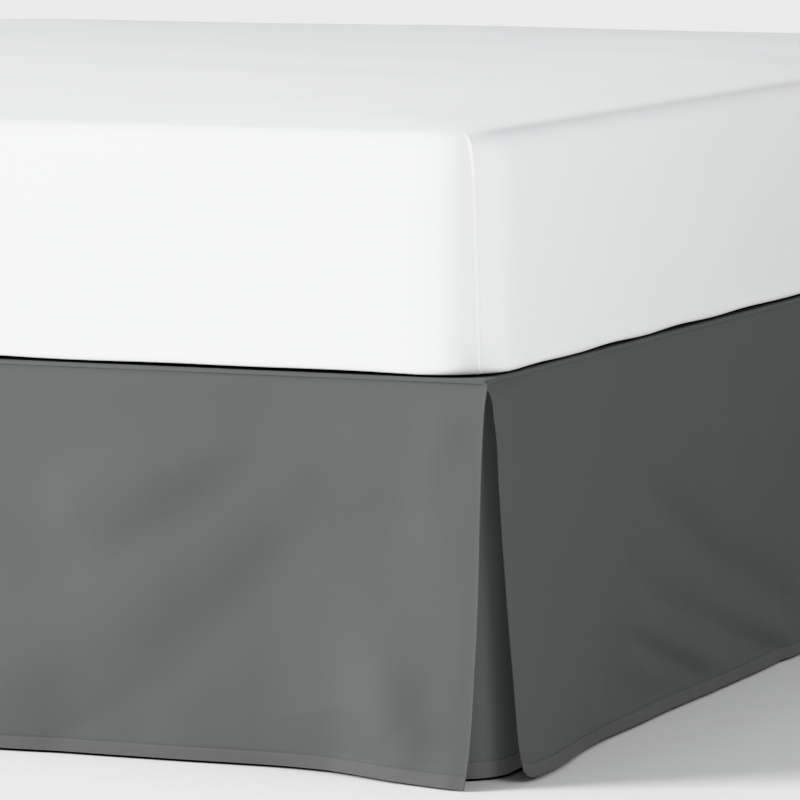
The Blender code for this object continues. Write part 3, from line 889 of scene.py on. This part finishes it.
def add_deck():
    shape = bmesh.new()
    bmesh.ops.create_grid(shape, x_segments=1, y_segments=1, size=0.5)
    bmesh.ops.scale(shape, verts=shape.verts, vec=(BED_WIDTH, BED_LENGTH, 1))
    bmesh.ops.translate(shape, verts=shape.verts, vec=(0, MIDDLE_Y, PLATFORM_HEIGHT))
    foot_corners = [v for v in shape.verts if v.co.y < MIDDLE_Y]
    bmesh.ops.bevel(
        shape, geom=foot_corners, offset=DECK_CORNER, offset_type="OFFSET", segments=DECK_CORNER_STEPS,
        profile=0.5, affect="VERTICES", material=-1,
    )
    turned = [e for e in shape.edges if min(v.co.y for v in e.verts) < HEAD_Y - DECK_CORNER]
    lip = bmesh.ops.extrude_edge_only(shape, edges=turned)
    lower = [g for g in lip["geom"] if isinstance(g, bmesh.types.BMVert)]
    bmesh.ops.translate(shape, verts=lower, vec=(0, 0, -LIP * MM))
    fold = [e for e in shape.edges if all(abs(v.co.z - PLATFORM_HEIGHT) < DECK_TUCK for v in e.verts)]
    fold = [e for e in fold if len(e.link_faces) == 2]
    bmesh.ops.bevel(
        shape, geom=fold, offset=DECK_ROLL, offset_type="OFFSET", segments=DECK_ROLL_STEPS, profile=0.5,
        affect="EDGES", material=-1,
    )
    mesh = bpy.data.meshes.new("deck")
    shape.to_mesh(mesh)
    shape.free()
    face_towards(mesh, Vector((0, 0, 1)))
    deck = add_piece("platform_cloth", mesh, deck_cloth)
    mesh.set_sharp_from_angle(angle=RIM_ANGLE)
    thicken(deck, CLOTH * MM)
    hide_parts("deck")
    print("platform cloth:", len(mesh.polygons), "faces")
    return deck


platform_cloth = add_deck()

# %% [markdown]
# ## The mattress in its fitted cover
#
# A mattress is a rounded slab. Its outline in plan is a rectangle with wide round corners, and its side has
# a profile: the cover flares at the lower edge, tucks under, runs up straight and rolls over into a shallow
# crown. So the shape is one outline lofted along one profile, a grid once more. Its last ring has no width,
# so the top closes along one line, and a single flat face closes the underside. Each corner starts and ends
# its turn gently, because a circle's sudden bend would show as an edge in the light. A fitted cover has one
# seam at each corner, which shows as a thin soft ridge that leans a little.

# %% Outlines and profiles
CORNER_TURNS = (0, 90, 180, 270)
TABLE_SIZE = 1001
CROWD_HALF = 8
CROWD_SHARES = (0.22, 0.78)
MERGE_WITHIN = 0.01 * MM
table_share = np.linspace(0, 1, TABLE_SIZE)
TABLE_TURNS = 90 * (3 * table_share**2 - 2 * table_share**3)


def turn_table(measure):
    """Adds measure up along a corner whose turn starts and ends gently, to a whole of 1."""
    steps = measure(np.radians((TABLE_TURNS[1:] + TABLE_TURNS[:-1]) / 2))
    total = np.concatenate([[0], np.cumsum(steps)])
    return total / total[-1]


TABLE_AHEAD = turn_table(np.cos)
TABLE_INWARD = turn_table(np.sin)


def corner_turns(start, steps, seam_turn):
    """Turns round one corner, from 0 to 90 degrees, crowded about its seam."""
    if seam_turn is None:
        return np.linspace(0, 90, steps + 1)
    seam = 90 - seam_turn if start in (0, 180) else seam_turn
    places = (0, seam - CROWD_HALF, seam + CROWD_HALF, 90)
    return np.interp(np.linspace(0, 1, steps + 1), (0, *CROWD_SHARES, 1), places)


def rounded_plan(half_x, half_y, corner, steps, seam_turn=None):
    """Points of a rounded rectangle, their outward directions, and their headings in degrees.

    corner is how far each corner's curve reaches. steps are those of a corner, a long and a short side.
    """
    corner_steps, long_steps, short_steps = steps
    points, headings = [], []
    for number, start in enumerate(CORNER_TURNS):
        turns = corner_turns(start, corner_steps, seam_turn)
        facing = np.array([math.cos(math.radians(start)), math.sin(math.radians(start))])
        ahead = np.array([-facing[1], facing[0]])
        tip = (facing + ahead) * (half_x, half_y)
        from_tip = corner * (np.interp(turns, TABLE_TURNS, TABLE_AHEAD) - 1)
        inward = corner * np.interp(turns, TABLE_TURNS, TABLE_INWARD)
        points.append(tip + from_tip[:, None] * ahead - inward[:, None] * facing)
        headings.append(start + turns)
        side_steps = short_steps if number % 2 == 0 else long_steps
        share = np.arange(1, side_steps)[:, None] / side_steps
        last = points[-1][-1]
        mirror = (1, -1) if start in (90, 270) else (-1, 1)
        points.append(last + share * (last * mirror - last))
        headings.append(np.full(side_steps - 1, start + 90.0))
    points.append(points[0][:1])
    headings.append(np.array([360.0]))
    points, headings = np.concatenate(points), np.concatenate(headings)
    outward = np.stack([np.cos(np.radians(headings)), np.sin(np.radians(headings))], axis=1)
    return points, outward, headings


def profile_curve(rows, count):
    """Reads rows as points of one smooth curve, and returns count rows along it."""
    rows = np.array(rows, float)
    chord = np.concatenate([[0], np.cumsum(np.linalg.norm(np.diff(rows[:, :2], axis=0), axis=1))])
    at = np.linspace(0, chord[-1], count)
    return np.stack([smooth_through(np.stack([chord, values], axis=1), at) for values in rows.T], axis=1)


def loft_slab(name, rings, finish):
    """Skins an array of rings, (rings, columns, 3), and closes both ends."""
    count, columns = rings.shape[:2]
    points = np.transpose(rings, (1, 0, 2))
    zero = np.zeros((columns, count))
    mesh = sheet_mesh(name, points, zero, zero, zero)
    shape = bmesh.new()
    shape.from_mesh(mesh)
    bmesh.ops.remove_doubles(shape, verts=shape.verts, dist=MERGE_WITHIN)
    bmesh.ops.holes_fill(shape, edges=shape.edges, sides=0)
    bmesh.ops.recalc_face_normals(shape, faces=shape.faces)
    shape.to_mesh(mesh)
    shape.free()
    mesh.uv_layers.remove(mesh.uv_layers["cloth"])
    mesh.attributes.remove(mesh.attributes["hem"])
    return add_piece(name, mesh, finish)


# %% The mattress
MATTRESS_HEIGHT = 233
MATTRESS_CROWN = 12
MATTRESS_CORNER = 90
MATTRESS_STEPS = (72, 110, 84)
MATTRESS_RINGS = 74
CROWN_RINGS = 40
CORNER_TIGHTER = 20
CORNER_LIMIT = 0.8
MATTRESS_PROFILE = (
    # height, inset from the bed's edge
    (0.0, 62),
    (0.4, 44),
    (1.6, 24),
    (2.3, 10),
    (2.7, 4.5),
    (3.6, 1.4),
    (5.4, 0.0),
    (8.0, -0.5),
    (12.0, -0.2),
    (20.0, 0.5),
    (34.0, 0.5),
    (90.0, 0.1),
    (150.0, 0.2),
    (186.0, 1.0),
    (204.0, 2.6),
    (217.0, 5.6),
    (225.0, 10.0),
    (230.0, 16.0),
    (233.0, 26.0),
)
CROWN_ROWS = (
    # inset, share of the crown
    (26, 0.0),
    (120, 0.45),
    (290, 0.8),
    (520, 1.0),
    (762, 1.0),
)
SEAM_RIDGE = 2.0
SEAM_RIDGE_WIDTH = 2.1
SEAM_RADIUS = 63
SEAM_LOW_TURN = 50
SEAM_HIGH_TURN = 44
SIDE_ENDS_FROM = 4
SIDE_ENDS_OVER = 18
COVER_WAVE = 0.7
COVER_WAVE_SIZE = 330
COVER_WAVE_MIDDLE = 110
TOP_WAVE = 0.9
TOP_WAVE_SIZE = 420
TOP_WAVE_INSET = 200
TOP_WAVE_REACH = 170
COVER_SEED = 5
LOWER_LIFT = 0.9
LOWER_LIFT_SIZE = 190
LOWER_LIFT_REACH = 14
LOWEST_LIFT = -1


def seam_headings(share):
    """Headings of the four corner seams. Each leans a little towards the bed's end as it rises."""
    turn = SEAM_LOW_TURN + (SEAM_HIGH_TURN - SEAM_LOW_TURN) * share
    return (90 - turn, 90 + turn, 270 - turn, 270 + turn)


def add_mattress():
    side_rows = profile_curve(MATTRESS_PROFILE, MATTRESS_RINGS)
    inset = np.linspace(MATTRESS_PROFILE[-1][1], SIDE_X / MM, CROWN_RINGS)[1:]
    crown = MATTRESS_HEIGHT + MATTRESS_CROWN * smooth_through(CROWN_ROWS, inset)
    rows = np.concatenate([side_rows, np.stack([crown, inset], axis=1)])
    seam_turn = (SEAM_LOW_TURN + SEAM_HIGH_TURN) / 2
    rings = []
    for height, inset in rows:
        half_x, half_y = SIDE_X / MM - inset, BED_LENGTH / 2 / MM - inset
        corner = min(MATTRESS_CORNER - min(inset, CORNER_TIGHTER), CORNER_LIMIT * half_x)
        plan, outward, headings = rounded_plan(half_x, half_y, corner, MATTRESS_STEPS, seam_turn)
        on_side = fade(inset - SIDE_ENDS_FROM, SIDE_ENDS_OVER)
        ridge = np.zeros(len(plan))
        for seam in seam_headings(min(height / MATTRESS_HEIGHT, 1)):
            ridge += bell(np.radians(headings - seam) * SEAM_RADIUS, SEAM_RIDGE_WIDTH)
        x, y = plan.T
        lift = soft_waves(x, y, COVER_SEED, TOP_WAVE_SIZE) * TOP_WAVE
        lift *= fade(TOP_WAVE_INSET - inset, TOP_WAVE_REACH)
        uneven = np.maximum(soft_waves(x, y, COVER_SEED + 2, LOWER_LIFT_SIZE), LOWEST_LIFT)
        lift += uneven * LOWER_LIFT * fade(height, LOWER_LIFT_REACH) * min(height, 1)
        swell = soft_waves(x + y, np.full(len(plan), height), COVER_SEED + 1, COVER_WAVE_SIZE)
        swell *= COVER_WAVE
        swell *= fade(abs(height - COVER_WAVE_MIDDLE), COVER_WAVE_MIDDLE)
        plan = plan + outward * ((ridge * SEAM_RIDGE + swell) * on_side)[:, None]
        z = height + lift + PLATFORM_HEIGHT / MM + GAP
        rings.append(np.column_stack([plan[:, 0], plan[:, 1] + MIDDLE_Y / MM, z]))
    mattress = loft_slab("fitted_mattress", np.array(rings) * MM, cover_cloth)
    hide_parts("mattress")
    print("mattress:", len(mattress.data.polygons), "faces")
    return mattress


mattress = add_mattress()

# %% [markdown]
# ## The foundation
#
# The mattress lies on a plain box of wood covered in ticking. The cover is welted where the top and the
# bottom meet the sides, and each welt is only a small bump in the profile of another lofted slab.

# %% The foundation
foundation_low, foundation_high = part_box("foundation")
FOUNDATION_CORNER = 50
FOUNDATION_STEPS = (14, 60, 46)
FOUNDATION_RINGS = 90
FOUNDATION_PROFILE = (
    # height, inset from the construction box
    (0.4, 40.0),
    (0.4, 12.0),
    (0.5, 9.0),
    (1.4, 5.6),
    (3.6, 3.6),
    (6.6, 3.4),
    (9.0, 4.6),
    (10.4, 6.0),
    (13.0, 4.2),
    (22.0, 2.6),
    (60.0, 1.4),
    (101.6, 1.2),
    (143.0, 1.4),
    (181.0, 2.6),
    (190.0, 4.2),
    (192.8, 6.0),
    (194.2, 4.6),
    (196.6, 3.4),
    (199.6, 3.6),
    (201.8, 5.6),
    (202.7, 9.0),
    (202.8, 12.0),
    (202.8, 40.0),
)
TICKING_WAVE = 0.8
TICKING_WAVE_SIZE = 260
TICKING_WAVE_MIDDLE = 101.6
TICKING_WAVE_REACH = 80
TICKING_SEED = 9


def add_foundation():
    middle_y = (foundation_low[1] + foundation_high[1]) / 2 / MM
    half_x = foundation_high[0] / MM
    half_y = (foundation_high[1] - foundation_low[1]) / 2 / MM
    rings = []
    for height, inset in profile_curve(FOUNDATION_PROFILE, FOUNDATION_RINGS):
        corner = FOUNDATION_CORNER - min(inset, CORNER_TIGHTER)
        plan, outward, _ = rounded_plan(half_x - inset, half_y - inset, corner, FOUNDATION_STEPS)
        x, y = plan.T
        swell = soft_waves(x + y, np.full(len(plan), height), TICKING_SEED, TICKING_WAVE_SIZE)
        flat = fade(abs(height - TICKING_WAVE_MIDDLE), TICKING_WAVE_REACH)
        plan = plan + outward * (np.minimum(swell, 1) * TICKING_WAVE * flat)[:, None]
        z = np.full(len(plan), height + foundation_low[2] / MM)
        rings.append(np.column_stack([plan[:, 0], plan[:, 1] + middle_y, z]))
    foundation = loft_slab("foundation_box", np.array(rings) * MM, foundation_cloth)
    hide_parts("foundation")
    print("foundation:", len(foundation.data.polygons), "faces")
    return foundation


foundation = add_foundation()

# %% [markdown]
# ## The steel frame
#
# The rails, crossbars and legs keep the construction model's own meshes, because a plain bar is a plain
# bar. They get a satin powder coat: near black, with the fine orange-peel bump that baked powder has.


# %% Powder coat
COAT_DARK = (0.028, 0.028, 0.030)
COAT_LIGHT = (0.045, 0.045, 0.047)
COAT_PATCH_SCALE = 14
COAT_GLOSS_SCALE = 60
COAT_DETAIL = 3
COAT_ROUGHNESS = 0.36
COAT_ROUGHNESS_SPREAD = 0.18
PEEL_SCALE = 900
PEEL_DETAIL = 2
PEEL_HEIGHT = 0.00008


def powder_coat():
    finish, tree, shader = new_material("frame powder coat")
    place = tree.nodes.new("ShaderNodeTexCoord").outputs["Object"]
    patches = noise_node(tree, place, COAT_PATCH_SCALE, COAT_DETAIL)
    tree.links.new(mix_colours(tree, patches, COAT_DARK, COAT_LIGHT), shader.inputs["Base Color"])
    gloss = noise_node(tree, place, COAT_GLOSS_SCALE, COAT_DETAIL)
    spread = math_node(tree, "MULTIPLY", gloss, COAT_ROUGHNESS_SPREAD)
    tree.links.new(math_node(tree, "ADD", spread, COAT_ROUGHNESS), shader.inputs["Roughness"])
    bump = tree.nodes.new("ShaderNodeBump")
    bump.inputs["Distance"].default_value = 1.0
    peel = noise_node(tree, place, PEEL_SCALE, PEEL_DETAIL)
    tree.links.new(math_node(tree, "MULTIPLY", peel, PEEL_HEIGHT), bump.inputs["Height"])
    tree.links.new(bump.outputs["Normal"], shader.inputs["Normal"])
    return finish


coat = powder_coat()
steel_nodes = [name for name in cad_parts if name.startswith(("rail_", "crossbar_", "leg_"))]
for name in steel_nodes:
    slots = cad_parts[name].data.materials
    slots.clear()
    slots.append(coat)
print("powder coated:", len(steel_nodes), "pieces")

# %% [markdown]
# ## Floor and light
#
# A large pale floor and a pale sky fill every shadow softly. Far from the bed the floor glows a little, so
# that it stays pale up to the horizon. One wide lamp at the left of the foot end lights the foot panel more
# than the side panel, which models the corner, and a weaker one at the right lights the side panel. A faint
# lamp reaches only the inserts, which would be black behind the splits. The view transform rolls the bright
# cotton off gently and leaves the greys as they are.

# %% The floor
FLOOR_HALF = 60
PALER_FROM = 6
PALER_TO = 15
PALER_GLOW = 0.5
FLOOR_COLOUR = (0.87, 0.87, 0.866)
FLOOR_LIGHTER = 1.04
FLOOR_PATCH_SCALE = 3
FLOOR_PATCH_DETAIL = 4
FLOOR_ROUGHNESS = 0.6
FLOOR_SPECULAR = 0.2


def add_floor():
    shape = bmesh.new()
    bmesh.ops.create_grid(shape, x_segments=1, y_segments=1, size=FLOOR_HALF)
    mesh = bpy.data.meshes.new("floor")
    shape.to_mesh(mesh)
    shape.free()
    finish, tree, shader = new_material("pale floor")
    place = tree.nodes.new("ShaderNodeTexCoord").outputs["Object"]
    patches = noise_node(tree, place, FLOOR_PATCH_SCALE, FLOOR_PATCH_DETAIL)
    lighter = tuple(value * FLOOR_LIGHTER for value in FLOOR_COLOUR)
    tree.links.new(mix_colours(tree, patches, FLOOR_COLOUR, lighter), shader.inputs["Base Color"])
    apart = tree.nodes.new("ShaderNodeVectorMath")
    apart.operation = "LENGTH"
    tree.links.new(place, apart.inputs[0])
    glow = tree.nodes.new("ShaderNodeMapRange")
    glow.interpolation_type = "SMOOTHSTEP"
    glow.inputs["From Min"].default_value = PALER_FROM
    glow.inputs["From Max"].default_value = PALER_TO
    glow.inputs["To Max"].default_value = PALER_GLOW
    tree.links.new(apart.outputs["Value"], glow.inputs["Value"])
    tree.links.new(glow.outputs["Result"], shader.inputs["Emission Color"])
    shader.inputs["Emission Strength"].default_value = 1.0
    shader.inputs["Roughness"].default_value = FLOOR_ROUGHNESS
    shader.inputs["Specular IOR Level"].default_value = FLOOR_SPECULAR
    floor = bpy.data.objects.new("floor", mesh)
    bpy.context.scene.collection.objects.link(floor)
    mesh.materials.append(finish)
    return floor


floor = add_floor()

# %% The lights
LIGHTS = (
    # name, azimuth round from the foot end, elevation, distance, size, irradiance at the bed's corner
    ("key", -59, 18, 7.0, 3.0, 1.27),
    ("fill", 68, 31, 6.0, 3.5, 0.385),
    ("gap light", 86, 15, 5.0, 1.0, 0.42),
)
SKY_COLOUR = (0.98, 0.99, 1.0)
SKY_STRENGTH = 0.45


def add_light(name, azimuth, elevation, distance, size, irradiance):
    """A round softbox that gives the bed's corner a set irradiance, in units of pi."""
    data = bpy.data.lights.new(name, "AREA")
    data.shape = "DISK"
    data.size = size
    data.energy = irradiance * (math.pi * distance) ** 2
    light = bpy.data.objects.new(name, data)
    turn, lift = math.radians(azimuth), math.radians(elevation)
    towards = Vector((
        math.sin(turn) * math.cos(lift),
        -math.cos(turn) * math.cos(lift),
        math.sin(lift),
    ))
    light.location = Vector((SIDE_X, FOOT_Y, PLATFORM_HEIGHT)) + towards * distance
    light.rotation_euler = towards.to_track_quat("Z", "Y").to_euler()
    light.visible_camera = False
    bpy.context.scene.collection.objects.link(light)
    print(name, "at", tuple(round(x, 2) for x in light.location), f"{data.energy:.0f} W")
    return light


lights = {light_row[0]: add_light(*light_row) for light_row in LIGHTS}
in_the_gap = bpy.data.collections.new("in the gap")
for insert in corner_inserts:
    in_the_gap.objects.link(insert)
lights["gap light"].light_linking.receiver_collection = in_the_gap
lights["gap light"].light_linking.blocker_collection = in_the_gap

sky = bpy.data.worlds.new("sky")
sky.use_nodes = True
sky.node_tree.nodes["Background"].inputs["Color"].default_value = (*SKY_COLOUR, 1)
sky.node_tree.nodes["Background"].inputs["Strength"].default_value = SKY_STRENGTH
bpy.context.scene.world = sky
bpy.context.scene.view_settings.view_transform = "Khronos PBR Neutral"
print("view transform:", bpy.context.scene.view_settings.view_transform)
